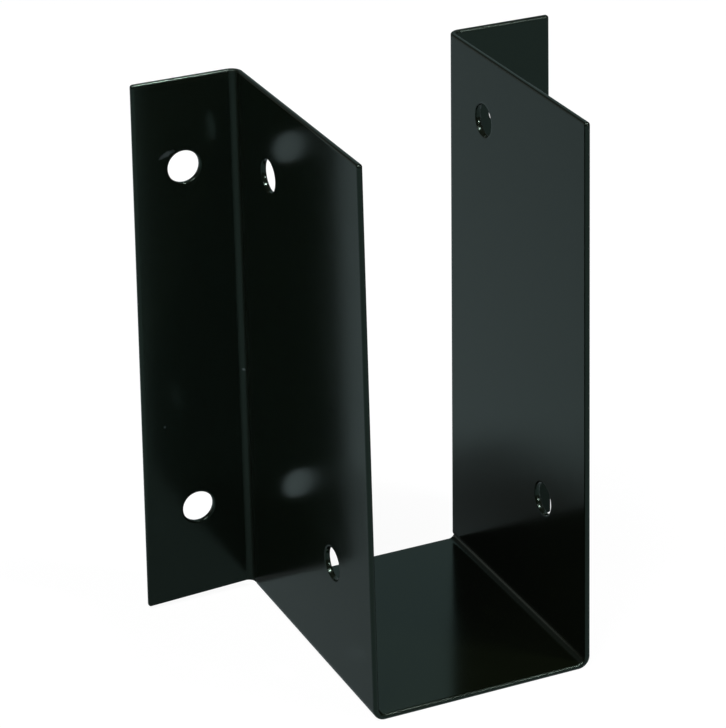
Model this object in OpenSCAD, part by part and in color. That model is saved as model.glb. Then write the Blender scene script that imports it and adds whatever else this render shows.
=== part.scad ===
// Joist hanger folded from one piece of steel sheet.
// Two flanges screw to the header, two side plates hold the joist, and the
// seat between the plates carries its end.
// X is the width, +Y faces the header and +Z is up. The underside of the
// seat is at Z 0, and the middle of the part's depth is at Y 0.

/* [Sheet] */
// Thickness of the sheet
sheet_thickness = 1; // [0.8:0.1:2.5]
// Inside radius of every bend
bend_radius = 1.2; // [0.5:0.1:3]
// Radius of the free corners of the flanges and side plates
corner_radius = 0.5; // [0.3:0.1:4]

/* [Joist pocket] */
// Clear width between the side plates
pocket_width = 40; // [30:0.5:80]
// Depth from the header face to the front edge of the seat
seat_depth = 54.5; // [45:0.5:80]

/* [Side plates] */
// Height from the underside of the seat to the top edges
plate_height = 101.5; // [80:0.5:160]
// How much further back the front edge of a plate is at its top than at its foot
front_taper = 3; // [0:0.5:15]

/* [Header flanges] */
// Width from a side plate's outer face to the flange's free edge at its top
flange_width = 19; // [16:0.5:40]
// How much further out the free edge of a flange is at its foot than at its top
flange_taper = 1.5; // [0:0.1:8]
// Height of the flange bends' feet above the underside of the seat
flange_foot_height = 1.3; // [0:0.1:6]
// Height of the flanges' lower free corners above the underside of the seat
flange_corner_height = 0.5; // [0:0.1:3]

/* [Flange screw holes] */
// Diameter of a flange screw hole
flange_hole_diameter = 6; // [4:0.1:8]
// Distance from the top end of the flange's free edge to its hole centres
flange_hole_inset = 9; // [6:0.5:14]
// Distance from the top edge down to the upper hole centres
flange_hole_drop = 16.3; // [8:0.1:30]
// Distance from the foot of the flange bends up to the lower hole centres
flange_hole_rise = 17.6; // [8:0.1:30]

/* [Joist screw holes] */
// Diameter of a side plate screw hole
joist_hole_diameter = 6; // [4:0.1:8]
// Distance from the header face to the upper hole centres
joist_hole_setback = 14.5; // [10:0.5:24]
// Distance from the top edge down to the upper hole centre of the left plate
joist_hole_drop = 15; // [12:0.5:30]
// Distance from the seat's front edge back to the lower hole centres
joist_hole_inset = 16.5; // [9:0.5:24]
// Distance from the seat's bearing face up to the lower hole centre of the left plate
joist_hole_rise = 22; // [10:0.1:40]
// How much higher the holes of the right plate are, so that opposing screws pass
joist_hole_stagger = 3; // [0:0.5:8]

/* [Hidden] */
// Facets of a full circle: every curve is exact in the solid
$fn = 96;
// Outside radius of every bend, which is also where the flat parts begin
bend_outer_radius = bend_radius + sheet_thickness;
// Depth from the header face to the front edge of a plate at its top
plate_top_depth = seat_depth - front_taper;
// Outer face of a side plate
plate_outer_x = pocket_width / 2 + sheet_thickness;
// Free edge of a flange at its top
flange_edge_x = plate_outer_x + flange_width;
// Distance that each drill runs past both faces of the sheet
drill_overshoot = 1;
// Shift that puts the middle of the depth at Y 0
header_face_y = seat_depth / 2;
// Screw holes of one flange, as [x, height]
flange_holes = [
    [flange_edge_x - flange_hole_inset, flange_foot_height + flange_hole_rise],
    [flange_edge_x - flange_hole_inset, plate_height - flange_hole_drop]
];
// Screw holes of the left plate, as [depth, height]
joist_holes = [
    [seat_depth - joist_hole_inset, sheet_thickness + joist_hole_rise],
    [joist_hole_setback, plate_height - joist_hole_drop]
];

// Unit vector from one point to another.
function direction(from, to) = (to - from) / norm(to - from);

// Centre of a circle of the given radius that touches both sides of a corner.
function fillet_centre(before, corner, after, radius) =
    let (
        to_before = direction(corner, before),
        to_after = direction(corner, after),
        half_angle = acos(to_before * to_after) / 2,
        bisector = direction([0, 0], to_before + to_after)
    )
    corner + bisector * radius / sin(half_angle);

// Where that circle touches the side that runs from the corner to a point.
function tangent_point(corner, along, centre) =
    let (side = direction(corner, along))
    corner + side * ((centre - corner) * side);

// Section of a bend: a quarter ring in the quadrant of +X and +Y.
module bend_section() {
    intersection() {
        difference() {
            circle(r = bend_outer_radius);
            circle(r = bend_radius);
        }
        square(bend_outer_radius);
    }
}

// Outline of a flat part whose far corners at the index list are rounded.
module rounded_outline(points, rounded) {
    count = len(points);
    centres = [
        for (i = [0 : count - 1])
            fillet_centre(points[(i + count - 1) % count], points[i], points[(i + 1) % count], corner_radius)
    ];
    trimmed = [
        for (i = [0 : count - 1])
            for (point = len(search(i, rounded)) > 0
                ? [
                    tangent_point(points[i], points[(i + count - 1) % count], centres[i]),
                    tangent_point(points[i], points[(i + 1) % count], centres[i])
                ]
                : [points[i]])
                point
    ];
    polygon(trimmed);
    for (i = rounded)
        translate(centres[i])
            circle(r = corner_radius);
}

// Flat part of the right flange, which widens towards its foot.
module flange_flat() {
    start_x = plate_outer_x + bend_radius;
    rotate([90, 0, 0])
        linear_extrude(sheet_thickness)
            rounded_outline(
                [
                    [start_x, flange_foot_height],
                    [flange_edge_x + flange_taper, flange_corner_height],
                    [flange_edge_x, plate_height],
                    [start_x, plate_height]
                ],
                [1, 2]
            );
}

// Bend between the right flange and the right side plate. Its foot passes the start of the
// seat bend and closes against the end of it.
module flange_bend() {
    translate([plate_outer_x + bend_radius, -bend_outer_radius, flange_foot_height])
        linear_extrude(plate_height - flange_foot_height)
            rotate(90)
                bend_section();
}

// Flat part of the right side plate, which narrows towards its top.
module plate_flat() {
    translate([pocket_width / 2, 0, 0])
        rotate([90, 0, 90])
            linear_extrude(sheet_thickness)
                rounded_outline(
                    [
                        [-bend_outer_radius, bend_outer_radius],
                        [-bend_outer_radius, plate_height],
                        [-plate_top_depth, plate_height],
                        [-seat_depth, bend_outer_radius]
                    ],
                    [2]
                );
}

// Bend between the right side plate and the seat.
module seat_bend() {
    translate([pocket_width / 2 - bend_radius, -bend_outer_radius, bend_outer_radius])
        rotate([90, 0, 0])
            linear_extrude(seat_depth - bend_outer_radius)
                mirror([0, 1])
                    bend_section();
}

// Flat part of the seat, between its two bends.
module seat_flat() {
    flat_width = pocket_width - 2 * bend_radius;
    translate([-flat_width / 2, -seat_depth, 0])
        cube([flat_width, seat_depth - bend_outer_radius, sheet_thickness]);
}

// Sheet of the right half, without its holes.
module half_sheet() {
    flange_flat();
    flange_bend();
    plate_flat();
    seat_bend();
}

// Drills through one flange, along Y.
module flange_drills() {
    for (hole = flange_holes)
        translate([hole.x, drill_overshoot, hole.y])
            rotate([90, 0, 0])
                cylinder(d = flange_hole_diameter, h = sheet_thickness + 2 * drill_overshoot);
}

// Drills through the right side plate, along X, raised by the given height.
module joist_drills(raise) {
    for (hole = joist_holes)
        translate([pocket_width / 2 - drill_overshoot, -hole.x, hole.y + raise])
            rotate([0, 90, 0])
                cylinder(d = joist_hole_diameter, h = sheet_thickness + 2 * drill_overshoot);
}

// The whole hanger, folded from one sheet.
module hanger() {
    color("#1b211f")
        translate([0, header_face_y, 0])
            difference() {
                union() {
                    half_sheet();
                    mirror([1, 0, 0])
                        half_sheet();
                    seat_flat();
                }
                flange_drills();
                mirror([1, 0, 0])
                    flange_drills();
                joist_drills(joist_hole_stagger);
                mirror([1, 0, 0])
                    joist_drills(0);
            }
}

hanger();
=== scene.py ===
"""Joist hanger folded from one sheet of steel with a black coating.

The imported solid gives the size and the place. This script models the same
folded sheet with the soft edges that its coating leaves, gives it its finish,
and sets it on a pale floor in front of the photograph's camera.
"""

import logging
import math
from collections.abc import Iterable
from dataclasses import dataclass, field
from enum import Enum

import bmesh
import bpy
from mathutils import Matrix, Vector


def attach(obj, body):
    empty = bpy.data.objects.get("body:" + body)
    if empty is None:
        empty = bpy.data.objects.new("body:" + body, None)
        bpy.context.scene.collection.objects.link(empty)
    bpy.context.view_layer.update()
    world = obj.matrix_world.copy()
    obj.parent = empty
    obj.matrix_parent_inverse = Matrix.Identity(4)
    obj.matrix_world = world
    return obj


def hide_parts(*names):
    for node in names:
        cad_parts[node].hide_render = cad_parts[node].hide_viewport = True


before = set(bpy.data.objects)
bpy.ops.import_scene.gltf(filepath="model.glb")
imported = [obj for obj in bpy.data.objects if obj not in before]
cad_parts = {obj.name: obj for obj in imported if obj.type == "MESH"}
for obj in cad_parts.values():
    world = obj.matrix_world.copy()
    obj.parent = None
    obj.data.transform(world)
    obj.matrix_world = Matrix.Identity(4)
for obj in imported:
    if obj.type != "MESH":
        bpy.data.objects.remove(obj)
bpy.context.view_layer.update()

LOG = logging.getLogger("joist_hanger")

#: A place, a size along three axes or a linear colour.
Triple = tuple[float, float, float]

#: One millimetre in Blender's metres.
MM = 0.001
#: Distance under which two places of the sheet are the same, in millimetres.
TOUCH = 0.001
#: Distance under which two vertices are merged, in millimetres.
MERGE = 0.0005
#: Distance under which a vertex lies on a cutting plane, in millimetres.
ON_PLANE = 0.0001
#: Profile of a bevel that is an arc.
ARC_PROFILE = 0.5
#: Edge attribute from which the edge rounding reads how wide it is.
ROUNDING_LAYER = "bevel_weight_edge"
#: Vertex attribute that tells the coating where the sheet is bent.
STRETCH_LAYER = "bend_stretch"
#: Middle of the hanger's height, where the lamps point, in metres.
LAMP_AIM = (0.0, 0.0, 0.05)


class Side(Enum):
    """The two mirrored halves of the sheet, by the sign of their X."""

    LEFT = -1
    RIGHT = 1


class Panel(Enum):
    """The flat parts that carry screw holes, by the normal of their plane."""

    FLANGE = "Y"
    SIDE_PLATE = "X"


def in_scene(name: str, data: bpy.types.ID) -> bpy.types.Object:
    """Put some data into the scene as an object.

    Args:
        name: Name of the object.
        data: Its mesh, lamp or camera.

    Returns:
        The object.
    """
    thing = bpy.data.objects.new(name, data)
    bpy.context.scene.collection.objects.link(thing)
    return thing


def mesh_in_scene(name: str, bm: bmesh.types.BMesh) -> bpy.types.Object:
    """Put a finished bmesh into the scene and free it.

    Args:
        name: Name of the mesh and of its object.
        bm: The bmesh.

    Returns:
        The object.
    """
    mesh = bpy.data.meshes.new(name)
    bm.to_mesh(mesh)
    bm.free()
    return in_scene(name, mesh)


@dataclass(frozen=True)
class ScrewHole:
    """A round screw hole through a flat part of the sheet, in millimetres.

    Attributes:
        side: Half of the sheet that the hole is in.
        panel: Flat part that it goes through.
        along: X of its centre in a flange, as seen on the right, or Y in a side plate.
        height: Z of its centre.
        radius: Radius of its wall.
    """

    side: Side
    panel: Panel
    along: float
    height: float
    radius: float = 3.0


@dataclass
class FoldedSheet:
    """The hanger's one piece: two flanges, two side plates and a seat.

    The sheet is modelled as its pocket side, which is the inside of the
    joist pocket and the back of the flanges, and then gets its thickness.
    Sizes are in millimetres.

    Attributes:
        thickness: Thickness of the sheet.
        bend_radius: Inside radius of every bend.
        corner_radius: Radius of the free corners.
        pocket_width: Clear width between the side plates.
        depth: Depth from the back of the flanges to the front of the seat.
        height: Height of the top edges.
        front_taper: How much further back a side plate's front edge is at its top.
        flange_width: Width of a flange beyond its side plate, at its top.
        flange_taper: How much wider a flange is at its foot.
        flange_foot_height: Height of the flange bends' feet.
        flange_corner_height: Height of the flanges' lower free corners.
        edge_softness: Width of the rounding that the coating gives a cut edge.
        rim_softness: Share of that width at the rims of the screw holes.
        seat_bend_stretch: Stretch of the coating on the seat bends, where that on
            the flange bends is 1.
        bend_steps: Facets of a bend.
        corner_steps: Facets of a free corner.
        edge_steps: Facets of a rounded edge.
        hole_steps: Facets of a quarter of a screw hole.
        hole_cell: Half the width of the square that is cut free round a hole.
        cell_slack: How far a vertex may be outside that square.
        rim_band: Width of the band of faces that is first set in the square.
        flat_face_weight: How strongly the flat faces lead the shading.
        holes: The screw holes.
    """

    thickness: float = 1.0
    bend_radius: float = 1.2
    corner_radius: float = 0.5
    pocket_width: float = 40.0
    depth: float = 54.5
    height: float = 101.5
    front_taper: float = 3.0
    flange_width: float = 19.0
    flange_taper: float = 1.5
    flange_foot_height: float = 1.3
    flange_corner_height: float = 0.5
    edge_softness: float = 0.36
    rim_softness: float = 0.4
    seat_bend_stretch: float = 0.3
    bend_steps: int = 12
    corner_steps: int = 5
    edge_steps: int = 4
    hole_steps: int = 16
    hole_cell: float = 4.6
    cell_slack: float = 0.01
    rim_band: float = 0.5
    flat_face_weight: int = 50
    holes: list[ScrewHole] = field(default_factory=lambda: [
        ScrewHole(Side.LEFT, Panel.FLANGE, 31.0, 18.9),
        ScrewHole(Side.LEFT, Panel.FLANGE, 31.0, 85.2),
        ScrewHole(Side.RIGHT, Panel.FLANGE, 31.0, 18.9),
        ScrewHole(Side.RIGHT, Panel.FLANGE, 31.0, 85.2),
        ScrewHole(Side.LEFT, Panel.SIDE_PLATE, -10.75, 23.0),
        ScrewHole(Side.LEFT, Panel.SIDE_PLATE, 12.75, 86.5),
        ScrewHole(Side.RIGHT, Panel.SIDE_PLATE, -10.75, 26.0),
        ScrewHole(Side.RIGHT, Panel.SIDE_PLATE, 12.75, 89.5),
    ])

    @property
    def outer_radius(self) -> float:
        """Outside radius of every bend."""
        return self.bend_radius + self.thickness

    @property
    def pocket_x(self) -> float:
        """Inner face of the right side plate."""
        return self.pocket_width / 2

    @property
    def header_y(self) -> float:
        """Back face of the flanges."""
        return self.depth / 2

    @property
    def bend_start_y(self) -> float:
        """Back edge of the side plates' flat parts, where the flange bends start."""
        return self.header_y - self.outer_radius

    @property
    def flange_edge_x(self) -> float:
        """Free edge of the right flange at its top."""
        return self.pocket_x + self.thickness + self.flange_width

    def build(self) -> bpy.types.Object:
        """Model the sheet as one mesh.

        Returns:
            The finished sheet, in place.
        """
        bm = bmesh.new()
        self._fold_right_half(bm)
        self._mirror_left_half(bm)
        for hole in self.holes:
            self._pierce(bm, hole)
        bmesh.ops.remove_doubles(bm, verts=bm.verts[:], dist=MERGE)
        self._face_the_pocket(bm)
        self._mark_free_edges(bm)
        self._mark_bends(bm)
        bmesh.ops.scale(bm, vec=Vector((MM, MM, MM)), verts=bm.verts[:])
        for face in bm.faces:
            face.smooth = True
        sheet = mesh_in_scene("folded_sheet", bm)
        self._give_thickness(sheet)
        self._soften_edges(sheet)
        return sheet

    def _fold_right_half(self, bm: bmesh.types.BMesh) -> None:
        """Model the right side plate and fold the seat and the flange from it.

        Args:
            bm: Empty mesh that takes the half.
        """
        front = -self.header_y
        back = self.bend_start_y
        foot = self.outer_radius
        corners = [
            bm.verts.new((self.pocket_x, front, foot)),
            bm.verts.new((self.pocket_x, back, foot)),
            bm.verts.new((self.pocket_x, back, self.height)),
            bm.verts.new((self.pocket_x, front + self.front_taper, self.height)),
        ]
        plate = bm.faces.new(corners)
        foot_edge = next(e for e in plate.edges if set(e.verts) == set(corners[:2]))
        back_edge = next(e for e in plate.edges if set(e.verts) == set(corners[1:3]))
        slit = bmesh.ops.extrude_vert_indiv(bm, verts=[corners[1]])
        slit["verts"][0].co.z = self.flange_foot_height
        slit_edge = slit["edges"][0]

        flange_bend = bmesh.ops.spin(
            bm, geom=[back_edge, slit_edge, *back_edge.verts, slit["verts"][0]],
            cent=(self.pocket_x + self.outer_radius, back, 0), axis=(0, 0, -1),
            angle=math.pi / 2, steps=self.bend_steps, use_merge=False)
        free_edge = self._push_out(bm, flange_bend["geom_last"], Vector(
            (self.flange_edge_x - self.pocket_x - self.outer_radius, 0, 0)))
        free_foot = min(free_edge, key=lambda v: v.co.z)
        free_top = max(free_edge, key=lambda v: v.co.z)
        free_foot.co.z = self.flange_corner_height
        for vert in free_edge:
            vert.co.x += self.flange_taper * (self.height - vert.co.z) / (
                self.height - self.flange_corner_height)

        seat_bend = bmesh.ops.spin(
            bm, geom=[foot_edge, *foot_edge.verts],
            cent=(self.pocket_x - self.bend_radius, 0, foot), axis=(0, 1, 0),
            angle=math.pi / 2, steps=self.bend_steps, use_merge=False)
        self._push_out(bm, seat_bend["geom_last"], Vector(
            (self.bend_radius - self.pocket_x, 0, 0)))

        self._round_corners(bm, [corners[3], free_foot, free_top])

    @staticmethod
    def _push_out(bm: bmesh.types.BMesh, geom: list,
                  offset: Vector) -> list[bmesh.types.BMVert]:
        """Extrude the last edge of a bend into the flat part that follows it.

        Args:
            bm: Mesh that holds the bend.
            geom: Last vertices and edges of the bend.
            offset: Direction and width of the flat part.

        Returns:
            The vertices of the flat part's far edge.
        """
        edges = [g for g in geom if isinstance(g, bmesh.types.BMEdge)]
        result = bmesh.ops.extrude_edge_only(bm, edges=edges)["geom"]
        far = [g for g in result if isinstance(g, bmesh.types.BMVert)]
        bmesh.ops.translate(bm, vec=offset, verts=far)
        return far

    def _round_corners(self, bm: bmesh.types.BMesh,
                       corners: list[bmesh.types.BMVert]) -> None:
        """Round free corners of the flat parts, which are close to right angles.

        Args:
            bm: Mesh that holds them.
            corners: Their vertices.
        """
        bmesh.ops.bevel(
            bm, geom=corners, offset=self.corner_radius, offset_type="OFFSET",
            segments=self.corner_steps, profile=ARC_PROFILE, affect="VERTICES", material=-1)

    @staticmethod
    def _mirror_left_half(bm: bmesh.types.BMesh) -> None:
        """Mirror the right half and join both halves along the seat's middle.

        Args:
            bm: Mesh that holds the right half.
        """
        bmesh.ops.mirror(bm, geom=bm.verts[:] + bm.edges[:] + bm.faces[:],
                         matrix=Matrix.Identity(4), merge_dist=TOUCH, axis="X")

    def _centre(self, hole: ScrewHole) -> Vector:
        """Place a hole's centre on the sheet's pocket side.

        Args:
            hole: The hole.

        Returns:
            Its centre.
        """
        side = hole.side.value
        if hole.panel is Panel.FLANGE:
            return Vector((side * hole.along, self.header_y, hole.height))
        return Vector((side * self.pocket_x, hole.along, hole.height))

    def _pierce(self, bm: bmesh.types.BMesh, hole: ScrewHole) -> None:
        """Open a round hole in a flat part.

        A square is cut free round the hole, its sides are divided, and the
        inner edge of a band that is set in it is drawn to a circle.

        Args:
            bm: Mesh of the whole pocket side.
            hole: The hole.
        """
        centre = self._centre(hole)
        across = Vector((1, 0, 0) if hole.panel is Panel.FLANGE else (0, 1, 0))
        upright = Vector((0, 0, 1))
        normal = across.cross(upright)
        for direction, band in ((upright, math.inf), (across, self.hole_cell)):
            for shift in (-self.hole_cell, self.hole_cell):
                flat = [f for f in bm.faces
                        if all(abs((v.co - centre).dot(normal)) < TOUCH for v in f.verts)
                        and abs(f.calc_center_bounds().z - centre.z) < band]
                bmesh.ops.bisect_plane(
                    bm, geom=self._with_outline(flat), dist=ON_PLANE,
                    plane_co=centre + direction * shift, plane_no=direction)
        cell = self._square_round(bm, centre)
        bmesh.ops.subdivide_edges(bm, edges=list(cell.edges), cuts=self.hole_steps - 1)
        cell = self._square_round(bm, centre)
        bmesh.ops.inset_region(bm, faces=[cell], thickness=self.rim_band, use_boundary=True)
        for vert in cell.verts:
            vert.co = centre + (vert.co - centre).normalized() * hole.radius
        bmesh.ops.delete(bm, geom=[cell], context="FACES_ONLY")

    @staticmethod
    def _with_outline(faces: list[bmesh.types.BMFace]) -> list:
        """Add the edges and corners of some faces to them.

        Args:
            faces: The faces.

        Returns:
            The faces with their edges and corners, each once and always in the same order.
        """
        edges = dict.fromkeys(e for f in faces for e in f.edges)
        verts = dict.fromkeys(v for f in faces for v in f.verts)
        return [*faces, *edges, *verts]

    def _square_round(self, bm: bmesh.types.BMesh, centre: Vector) -> bmesh.types.BMFace:
        """Find the square that was cut free round a hole.

        Args:
            bm: Mesh of the whole pocket side.
            centre: Centre of the hole.

        Returns:
            The square.
        """
        half = self.hole_cell + self.cell_slack
        return next(f for f in bm.faces
                    if all(max(abs(c) for c in v.co - centre) <= half for v in f.verts))

    @staticmethod
    def _face_the_pocket(bm: bmesh.types.BMesh) -> None:
        """Point every face into the pocket, or to the back on the flanges.

        Args:
            bm: Mesh of the whole pocket side.
        """
        bmesh.ops.recalc_face_normals(bm, faces=bm.faces[:])
        bm.faces.ensure_lookup_table()
        seat = min(bm.faces, key=lambda f: f.calc_center_median().length_squared)
        seat.normal_update()
        if seat.normal.z < 0:
            bmesh.ops.reverse_faces(bm, faces=bm.faces[:])

    def _mark_free_edges(self, bm: bmesh.types.BMesh) -> None:
        """Mark the sheet's free edges, which the coating rounds.

        The short edges where a flange bend closes against the end of a seat
        bend stay sharp, as in the solid.

        Args:
            bm: Mesh of the whole pocket side.
        """
        rounding = bm.edges.layers.float.new(ROUNDING_LAYER)
        centres = [self._centre(hole) for hole in self.holes]
        for edge in bm.edges:
            if not edge.is_boundary:
                continue
            closed = all(abs(abs(v.co.x) - self.pocket_x) < TOUCH
                         and abs(v.co.y - self.bend_start_y) < TOUCH for v in edge.verts)
            rim = any((edge.verts[0].co - centre).length < self.hole_cell for centre in centres)
            edge[rounding] = 0.0 if closed else self.rim_softness if rim else 1.0

    def _mark_bends(self, bm: bmesh.types.BMesh) -> None:
        """Mark the bends, where the folding has stretched the coating.

        Args:
            bm: Mesh of the whole pocket side.
        """
        stretched = bm.verts.layers.float.new(STRETCH_LAYER)
        seat_bend_x = self.pocket_x - self.bend_radius
        for vert in bm.verts:
            x, y, z = abs(vert.co.x), vert.co.y, vert.co.z
            flange_bend = (self.bend_start_y + TOUCH < y
                           and x < self.pocket_x + self.outer_radius - TOUCH)
            seat_bend = (z < self.outer_radius - TOUCH
                         and seat_bend_x + TOUCH < x < self.pocket_x - TOUCH)
            vert[stretched] = 1.0 if flange_bend else self.seat_bend_stretch if seat_bend else 0.0

    def _give_thickness(self, sheet: bpy.types.Object) -> None:
        """Thicken the sheet away from the pocket.

        Args:
            sheet: The sheet's pocket side.
        """
        solidify = sheet.modifiers.new("sheet_thickness", "SOLIDIFY")
        solidify.thickness = self.thickness * MM
        solidify.offset = -1.0
        solidify.use_even_offset = True
        solidify.use_quality_normals = True

    def _soften_edges(self, sheet: bpy.types.Object) -> None:
        """Round the cut edges, as the coating does.

        Args:
            sheet: The sheet with its thickness.
        """
        bevel = sheet.modifiers.new("coated_edges", "BEVEL")
        bevel.width = self.edge_softness * MM
        bevel.segments = self.edge_steps
        bevel.profile = ARC_PROFILE
        bevel.limit_method = "WEIGHT"
        bevel.use_clamp_overlap = True
        weighted = sheet.modifiers.new("flat_face_shading", "WEIGHTED_NORMAL")
        weighted.keep_sharp = False
        weighted.weight = self.flat_face_weight

    def dress(self, sheet: bpy.types.Object, finish: "BlackCoating") -> None:
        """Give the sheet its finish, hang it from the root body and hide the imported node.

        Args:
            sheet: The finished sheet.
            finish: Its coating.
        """
        sheet.data.materials.append(finish.material())
        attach(sheet, "root")
        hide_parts("hanger")
        LOG.info("folded sheet: %d holes, %s", len(self.holes), finish.name)


def feed(tree: bpy.types.NodeTree, slot: bpy.types.NodeSocket, value: object) -> None:
    """Give an input of a node a plain value or the value of a socket.

    Args:
        tree: Node tree that holds the node.
        slot: The input.
        value: A number, a colour or a socket.
    """
    if isinstance(value, bpy.types.NodeSocket):
        tree.links.new(value, slot)
    else:
        slot.default_value = value


def math_of(tree: bpy.types.NodeTree, operation: str, *values: object,
            clamp: bool = False) -> bpy.types.NodeSocket:
    """Add a maths node.

    Args:
        tree: Node tree that takes it.
        operation: Name of its operation.
        *values: Its inputs in order, each a number or a socket.
        clamp: Keep the result from 0 to 1.

    Returns:
        Socket of the result.
    """
    node = tree.nodes.new("ShaderNodeMath")
    node.operation = operation
    node.use_clamp = clamp
    for slot, value in zip(node.inputs, values):
        feed(tree, slot, value)
    return node.outputs["Value"]


def range_of(tree: bpy.types.NodeTree, value: bpy.types.NodeSocket,
             source: tuple[float, float], target: tuple[float, float]) -> bpy.types.NodeSocket:
    """Map one range of a value to another, and stop at its ends.

    Args:
        tree: Node tree that takes the node.
        value: The value.
        source: Ends of the range that it has.
        target: Ends of the range that it gets.

    Returns:
        Socket of the result.
    """
    node = tree.nodes.new("ShaderNodeMapRange")
    feed(tree, node.inputs["Value"], value)
    for name, end in zip(("From Min", "From Max", "To Min", "To Max"), (*source, *target)):
        node.inputs[name].default_value = end
    return node.outputs["Result"]


def noise_of(tree: bpy.types.NodeTree, place: bpy.types.NodeSocket, scale: float,
             detail: float) -> bpy.types.NodeSocket:
    """Add a soft noise over the sheet.

    Args:
        tree: Node tree that takes the node.
        place: Socket that gives the place on the sheet.
        scale: Patches per metre.
        detail: How many finer noises are on it.

    Returns:
        Socket of the noise, around 0.5.
    """
    node = tree.nodes.new("ShaderNodeTexNoise")
    node.inputs["Scale"].default_value = scale
    node.inputs["Detail"].default_value = detail
    tree.links.new(place, node.inputs["Vector"])
    return node.outputs["Fac"]


def blend_of(tree: bpy.types.NodeTree, share: bpy.types.NodeSocket, first: object,
             second: object) -> bpy.types.NodeSocket:
    """Blend two colours.

    Args:
        tree: Node tree that takes the node.
        share: Share of the second colour.
        first: The first colour, or its socket.
        second: The second colour, or its socket.

    Returns:
        Socket of the blend.
    """
    node = tree.nodes.new("ShaderNodeMix")
    node.data_type = "RGBA"
    for name, value in (("Factor", share), ("A", first), ("B", second)):
        feed(tree, node.inputs[name], value)
    return node.outputs["Result"]


@dataclass(frozen=True)
class LightMark:
    """A small light mark painted into the coating's colour, in millimetres. One of them is a
    painted reflection; the others are light specks.

    Attributes:
        name: What it is.
        place: Its centre.
        half_size: Half its size along its own three axes.
        tilt: Its turn about Y, in degrees.
        strength: How much of the coating it covers.
    """

    name: str
    place: Triple
    half_size: Triple
    tilt: float
    strength: float


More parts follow.
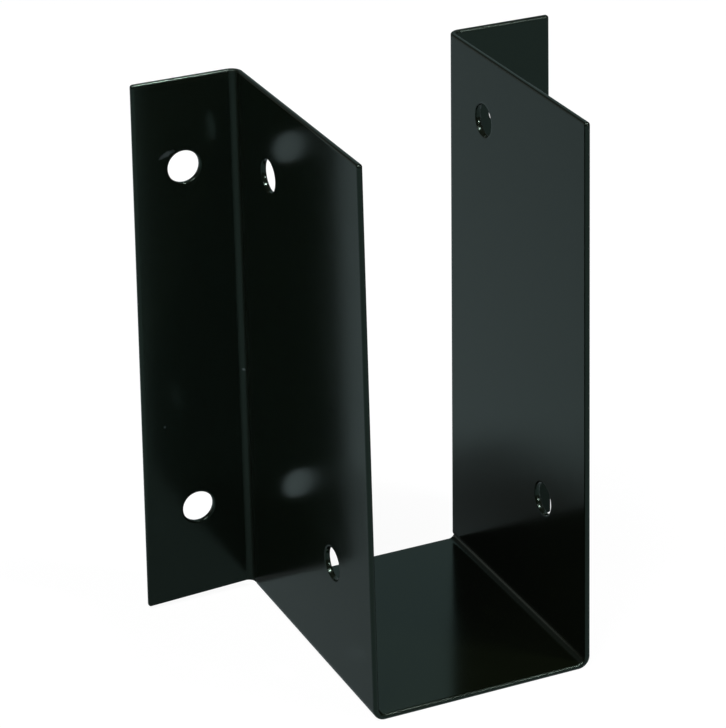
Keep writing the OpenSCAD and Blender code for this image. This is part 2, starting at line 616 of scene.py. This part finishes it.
@dataclass(frozen=True)
class BlackCoating:
    """Semi-gloss black powder coating with a faint orange peel.

    Attributes:
        name: Name of the material.
        colour: Linear base colour.
        colour_spread: Darkest and lightest share of that colour over the sheet.
        gloss_tint: Tint of what the film reflects.
        roughness: Mean roughness of the film.
        roughness_spread: How far the roughness wanders over the sheet.
        wander_scale: Patches per metre of that wandering.
        wander_detail: How many finer noises are on it.
        wander_range: Values of the noise between which it wanders.
        peel_size: Width of one dimple of the orange peel, in millimetres.
        peel_height: Height of the orange peel, in millimetres.
        peel_detail: How many finer noises are on it.
        ior: Refractive index of the film.
        edge_pooling: Radius over which the film smooths an edge, in millimetres.
        pooling_samples: How many rays find that edge.
        bend_dulling: How much rougher the film is where a bend has stretched it.
        mark_colour: Linear colour painted on a light mark.
        mark_dulling: How much rougher a light mark is.
        mark_grain: Width of one grain of a light mark's frayed edge, in millimetres.
        grain_detail: How many finer noises are on that grain.
        mark_edge: Reach, with the grain added, where a light mark starts to fade and where it
            ends.
        glint_and_specks: The light marks painted on the coating: a painted reflection by the
            upper hole of the left flange, and two light specks.
    """

    name: str = "black_coating"
    colour: Triple = (0.0026, 0.0036, 0.0013)
    colour_spread: tuple[float, float] = (0.85, 1.2)
    gloss_tint: Triple = (0.75, 1.0, 0.86)
    roughness: float = 0.15
    roughness_spread: float = 0.02
    wander_scale: float = 45.0
    wander_detail: float = 4.0
    wander_range: tuple[float, float] = (0.3, 0.7)
    peel_size: float = 1.6
    peel_height: float = 0.0016
    peel_detail: float = 2.0
    ior: float = 1.5
    edge_pooling: float = 0.5
    pooling_samples: int = 8
    bend_dulling: float = 0.24
    # Light marks painted into the coating's colour: the first is a painted reflection, the others
    # are light specks.
    mark_colour: Triple = (0.13, 0.15, 0.155)
    mark_dulling: float = 0.25
    mark_grain: float = 0.5
    grain_detail: float = 2.0
    mark_edge: tuple[float, float] = (0.9, 1.5)
    glint_and_specks: tuple[LightMark, ...] = (
        # Painted reflection: a light curved smudge painted beside the upper hole of the left
        # flange.
        LightMark("glint_by_the_upper_hole", (-34.2, 26.25, 88.0), (1.6, 0.3, 0.55), -24.0, 0.45),
        LightMark("speck_on_the_bend", (-21.35, 25.90, 44.6), (0.42, 0.42, 0.30), 0.0, 1.0),
        LightMark("speck_on_the_flange", (-36.8, 26.25, 36.3), (0.25, 0.3, 0.32), 0.0, 0.5),
    )

    def material(self) -> bpy.types.Material:
        """Make the node material.

        Returns:
            The material.
        """
        material = bpy.data.materials.new(self.name)
        material.use_nodes = True
        tree = material.node_tree
        shader = tree.nodes["Principled BSDF"]
        shader.inputs["IOR"].default_value = self.ior
        shader.inputs["Specular Tint"].default_value = (*self.gloss_tint, 1.0)
        place = tree.nodes.new("ShaderNodeTexCoord").outputs["Object"]
        wander = noise_of(tree, place, self.wander_scale, self.wander_detail)
        # Where the light marks are painted, one of them a painted reflection.
        marked = self._where_marked(tree, place)
        feed(tree, shader.inputs["Roughness"], self._dullness(tree, wander, marked))
        feed(tree, shader.inputs["Base Color"], self._tint(tree, wander, marked))
        feed(tree, shader.inputs["Normal"], self._relief(tree, place))
        return material

    def _dullness(self, tree: bpy.types.NodeTree, wander: bpy.types.NodeSocket,
                  marked: bpy.types.NodeSocket) -> bpy.types.NodeSocket:
        """Wander the roughness, and raise it on the bends and the painted light marks.

        Args:
            tree: Node tree of the coating.
            wander: Socket of the slow noise over the sheet.
            marked: Socket that tells where the painted light marks are.

        Returns:
            Socket of the roughness.
        """
        film = range_of(tree, wander, self.wander_range, (
            self.roughness - self.roughness_spread, self.roughness + self.roughness_spread))
        bends = tree.nodes.new("ShaderNodeAttribute")
        bends.attribute_name = STRETCH_LAYER
        dulled = math_of(tree, "MULTIPLY_ADD", bends.outputs["Fac"], self.bend_dulling, film)
        # Rougher on the painted light marks, one of them a painted reflection.
        return math_of(tree, "MULTIPLY_ADD", marked, self.mark_dulling, dulled)

    def _tint(self, tree: bpy.types.NodeTree, wander: bpy.types.NodeSocket,
              marked: bpy.types.NodeSocket) -> bpy.types.NodeSocket:
        """Wander the colour, and lighten it where light marks are painted, one of them a painted
        reflection.

        Args:
            tree: Node tree of the coating.
            wander: Socket of the slow noise over the sheet.
            marked: Socket that tells where the painted light marks are.

        Returns:
            Socket of the base colour.
        """
        darkest, lightest = (
            (*[c * share for c in self.colour], 1.0) for share in self.colour_spread)
        clean = blend_of(tree, wander, darkest, lightest)
        # Paints the light marks, one of them a painted reflection, over the clean colour.
        return blend_of(tree, marked, clean, (*self.mark_colour, 1.0))

    def _relief(self, tree: bpy.types.NodeTree,
                place: bpy.types.NodeSocket) -> bpy.types.NodeSocket:
        """Smooth the edges as a thick film does, and add the orange peel.

        Args:
            tree: Node tree of the coating.
            place: Socket that gives the place on the sheet.

        Returns:
            Socket of the normal.
        """
        pooled = tree.nodes.new("ShaderNodeBevel")
        pooled.samples = self.pooling_samples
        pooled.inputs["Radius"].default_value = self.edge_pooling * MM
        bump = tree.nodes.new("ShaderNodeBump")
        bump.inputs["Strength"].default_value = 1.0
        bump.inputs["Distance"].default_value = self.peel_height * MM
        feed(tree, bump.inputs["Height"], noise_of(
            tree, place, 1.0 / (self.peel_size * MM), self.peel_detail))
        feed(tree, bump.inputs["Normal"], pooled.outputs["Normal"])
        return bump.outputs["Normal"]

    def _where_marked(self, tree: bpy.types.NodeTree,
              place: bpy.types.NodeSocket) -> bpy.types.NodeSocket:
        """Tell where the light marks are painted, one of them a painted reflection.

        Args:
            tree: Node tree of the coating.
            place: Socket that gives the place on the sheet.

        Returns:
            Socket that is 0 on the clean coating.
        """
        grain = noise_of(tree, place, 1.0 / (self.mark_grain * MM), self.grain_detail)
        first, *others = (self._cover(tree, place, grain, spot) for spot in self.glint_and_specks)
        for cover in others:
            first = math_of(tree, "MAXIMUM", first, cover)
        return first

    def _cover(self, tree: bpy.types.NodeTree, place: bpy.types.NodeSocket,
               grain: bpy.types.NodeSocket, spot: LightMark) -> bpy.types.NodeSocket:
        """Tell how much of the coating one painted light mark covers.

        Args:
            tree: Node tree of the coating.
            place: Socket that gives the place on the sheet.
            grain: Socket of the fine noise that frays its edge.
            spot: The light mark.

        Returns:
            Socket that is 0 outside the light mark.
        """
        fitted = tree.nodes.new("ShaderNodeMapping")
        fitted.vector_type = "TEXTURE"
        fitted.inputs["Location"].default_value = [c * MM for c in spot.place]
        fitted.inputs["Rotation"].default_value = (0.0, math.radians(spot.tilt), 0.0)
        fitted.inputs["Scale"].default_value = [c * MM for c in spot.half_size]
        tree.links.new(place, fitted.inputs["Vector"])
        reach = tree.nodes.new("ShaderNodeVectorMath")
        reach.operation = "LENGTH"
        tree.links.new(fitted.outputs["Vector"], reach.inputs[0])
        frayed = math_of(tree, "ADD", reach.outputs["Value"], grain)
        return range_of(tree, frayed, self.mark_edge, (spot.strength, 0.0))


def white_share(tree: bpy.types.NodeTree, reflected: float) -> bpy.types.NodeSocket:
    """Tell how much of the white background a ray sees.

    Args:
        tree: Node tree of the floor or the room.
        reflected: Share that a glossy or a transmitted ray sees.

    Returns:
        Socket that is 1 for the camera's own rays.
    """
    rays = tree.nodes.new("ShaderNodeLightPath").outputs
    bounced = math_of(tree, "MAXIMUM", rays["Is Glossy Ray"], rays["Is Transmission Ray"])
    return math_of(tree, "MULTIPLY_ADD", bounced, reflected, rays["Is Camera Ray"], clamp=True)


@dataclass(frozen=True)
class PaleStage:
    """The floor that the hanger stands on, white to the camera.

    Attributes:
        size: Width of the floor, in metres.
        sink: How far the floor is under the seat's underside, in millimetres, so
            that the two never share a plane.
        colour: Linear colour of the paper as the object sees it.
        shaded_share: Share of the camera's white that the lamps light and the hanger shades.
        white: Strength of the rest of that white.
        reflected_white: Share of the camera's white that gloss and glass reflect.
    """

    size: float = 8.0
    sink: float = 0.05
    colour: Triple = (0.274, 0.354, 0.370)
    shaded_share: float = 0.08
    white: float = 0.955
    reflected_white: float = 0.06

    def build(self) -> bpy.types.Object:
        """Make the floor and its material.

        Returns:
            The floor.
        """
        bm = bmesh.new()
        bmesh.ops.create_grid(bm, x_segments=1, y_segments=1, size=self.size / 2)
        bmesh.ops.translate(bm, vec=Vector((0, 0, -self.sink * MM)), verts=bm.verts[:])
        floor = mesh_in_scene("floor", bm)
        floor.data.materials.append(self._material())
        LOG.info("floor: %.0f m wide", self.size)
        return floor

    def _material(self) -> bpy.types.Material:
        """Matt paper that the camera sees as white, with the object's shadow.

        Returns:
            The material.
        """
        material = bpy.data.materials.new("floor_paper")
        material.use_nodes = True
        nodes, links = material.node_tree.nodes, material.node_tree.links
        nodes.clear()
        out = nodes.new("ShaderNodeOutputMaterial")
        paper = nodes.new("ShaderNodeBsdfDiffuse")
        paper.inputs["Color"].default_value = (*self.colour, 1.0)
        shaded = nodes.new("ShaderNodeBsdfDiffuse")
        shaded.inputs["Color"].default_value = (*[self.shaded_share] * 3, 1.0)
        white = nodes.new("ShaderNodeEmission")
        white.inputs["Strength"].default_value = self.white
        seen = nodes.new("ShaderNodeAddShader")
        mix = nodes.new("ShaderNodeMixShader")
        links.new(shaded.outputs["BSDF"], seen.inputs[0])
        links.new(white.outputs["Emission"], seen.inputs[1])
        links.new(white_share(material.node_tree, self.reflected_white), mix.inputs["Fac"])
        links.new(paper.outputs["BSDF"], mix.inputs[1])
        links.new(seen.outputs["Shader"], mix.inputs[2])
        links.new(mix.outputs["Shader"], out.inputs["Surface"])
        return material


@dataclass(frozen=True)
class SoftBox:
    """A rectangular soft lamp that points at the hanger.

    Attributes:
        name: Name of the lamp.
        place: Its centre, in metres.
        width: Width, in metres.
        height: Height, in metres.
        radiance: Brightness of its face.
        colour: Linear colour of its light.
    """

    name: str
    place: Triple
    width: float
    height: float
    radiance: float
    colour: Triple = (1.0, 1.0, 1.0)

    def build(self) -> bpy.types.Object:
        """Make the lamp.

        Returns:
            The lamp.
        """
        light = bpy.data.lights.new(self.name, "AREA")
        light.shape = "RECTANGLE"
        light.size = self.width
        light.size_y = self.height
        light.energy = self.radiance * math.pi * self.width * self.height
        light.color = self.colour
        lamp = in_scene(self.name, light)
        lamp.location = self.place
        aim = Vector(LAMP_AIM) - Vector(self.place)
        lamp.rotation_euler = aim.to_track_quat("-Z", "Y").to_euler()
        return lamp


@dataclass(frozen=True)
class Studio:
    """Plain soft studio light round the stage.

    Attributes:
        boxes: The lamps.
        surround: Linear colour of the room as the object sees it.
        reflected_white: Share of the camera's white that gloss and glass reflect.
    """

    boxes: tuple[SoftBox, ...] = (
        SoftBox("overhead_softbox", (0.366, -0.345, 1.245), 0.13, 0.13, 125.0),
        SoftBox("front_softbox", (0.555, -1.030, 0.58), 0.10, 0.10, 45.0),
        SoftBox("left_softbox", (-0.50, -0.32, 1.14), 0.45, 0.45, 14.0),
        SoftBox("back_panel", (0.51, 1.08, 0.60), 1.0, 0.7, 0.20, (0.62, 1.0, 1.0)),
        SoftBox("left_back_panel", (-0.74, 1.08, 0.17), 0.60, 0.26, 0.35, (1.0, 0.95, 0.88)),
    )
    surround: Triple = (0.028, 0.035, 0.036)
    reflected_white: float = 0.06

    def build(self) -> None:
        """Make the lamps and the world, and set the plain view transform."""
        for box in self.boxes:
            box.build()
        world = bpy.data.worlds.new("studio_room")
        bpy.context.scene.world = world
        world.use_nodes = True
        nodes, links = world.node_tree.nodes, world.node_tree.links
        nodes.clear()
        out = nodes.new("ShaderNodeOutputWorld")
        room = nodes.new("ShaderNodeBackground")
        room.inputs["Color"].default_value = (*self.surround, 1.0)
        white = nodes.new("ShaderNodeBackground")
        white.inputs["Color"].default_value = (1.0, 1.0, 1.0, 1.0)
        mix = nodes.new("ShaderNodeMixShader")
        links.new(white_share(world.node_tree, self.reflected_white), mix.inputs["Fac"])
        links.new(room.outputs["Background"], mix.inputs[1])
        links.new(white.outputs["Background"], mix.inputs[2])
        links.new(mix.outputs["Shader"], out.inputs["Surface"])
        bpy.context.scene.view_settings.view_transform = "Standard"
        LOG.info("studio: %d soft lamps", len(self.boxes))


@dataclass(frozen=True)
class PhotoCamera:
    """The photograph's camera, from the perspective fit.

    Attributes:
        azimuth: Turn to the right of +Y, in degrees.
        elevation: How far it looks down, in degrees.
        roll: Turn about its own axis, in degrees.
        distance: Distance from the camera to the target, in millimetres.
        target: Point at the middle of the frame, in millimetres.
        focal: Focal length, in pixels of the photograph.
        frame_width: Width of the photograph, in pixels.
        sensor_width: Width of the sensor, in millimetres.
        clip: Nearest and furthest distance that it sees, in metres.
    """

    azimuth: float = 24.34
    elevation: float = 25.26
    roll: float = -1.0
    distance: float = 539.91
    target: Triple = (-9.62, 0.0, 54.11)
    focal: float = 3128.4
    frame_width: float = 726.0
    sensor_width: float = 36.0
    clip: tuple[float, float] = (0.01, 20.0)

    def build(self) -> bpy.types.Object:
        """Make the camera and give it to the scene.

        Returns:
            The camera.
        """
        turn, down, roll = (math.radians(v) for v in (self.azimuth, self.elevation, self.roll))
        ahead = Vector((math.sin(turn) * math.cos(down), math.cos(turn) * math.cos(down),
                        -math.sin(down)))
        level = Vector((math.cos(turn), -math.sin(turn), 0))
        above = level.cross(ahead)
        right = math.cos(roll) * level + math.sin(roll) * above
        up = -math.sin(roll) * level + math.cos(roll) * above
        place = (Vector(self.target) - ahead * self.distance) * MM
        data = bpy.data.cameras.new("photo_camera")
        data.type = "PERSP"
        data.sensor_fit = "HORIZONTAL"
        data.sensor_width = self.sensor_width
        data.lens = self.focal * self.sensor_width / self.frame_width
        data.clip_start, data.clip_end = self.clip
        camera = in_scene("photo_camera", data)
        pose = Matrix((right, up, -ahead)).transposed().to_4x4()
        pose.translation = place
        camera.matrix_world = pose
        bpy.context.scene.camera = camera
        LOG.info("camera: %.1f mm lens", data.lens)
        return camera


def main() -> None:
    """Build the camera, the stage, the light and the hanger."""
    logging.basicConfig(level=logging.INFO, format="%(name)s: %(message)s")
    PhotoCamera().build()
    PaleStage().build()
    Studio().build()
    folded = FoldedSheet()
    sheet = folded.build()
    folded.dress(sheet, BlackCoating())


if __name__ == "__main__":
    main()
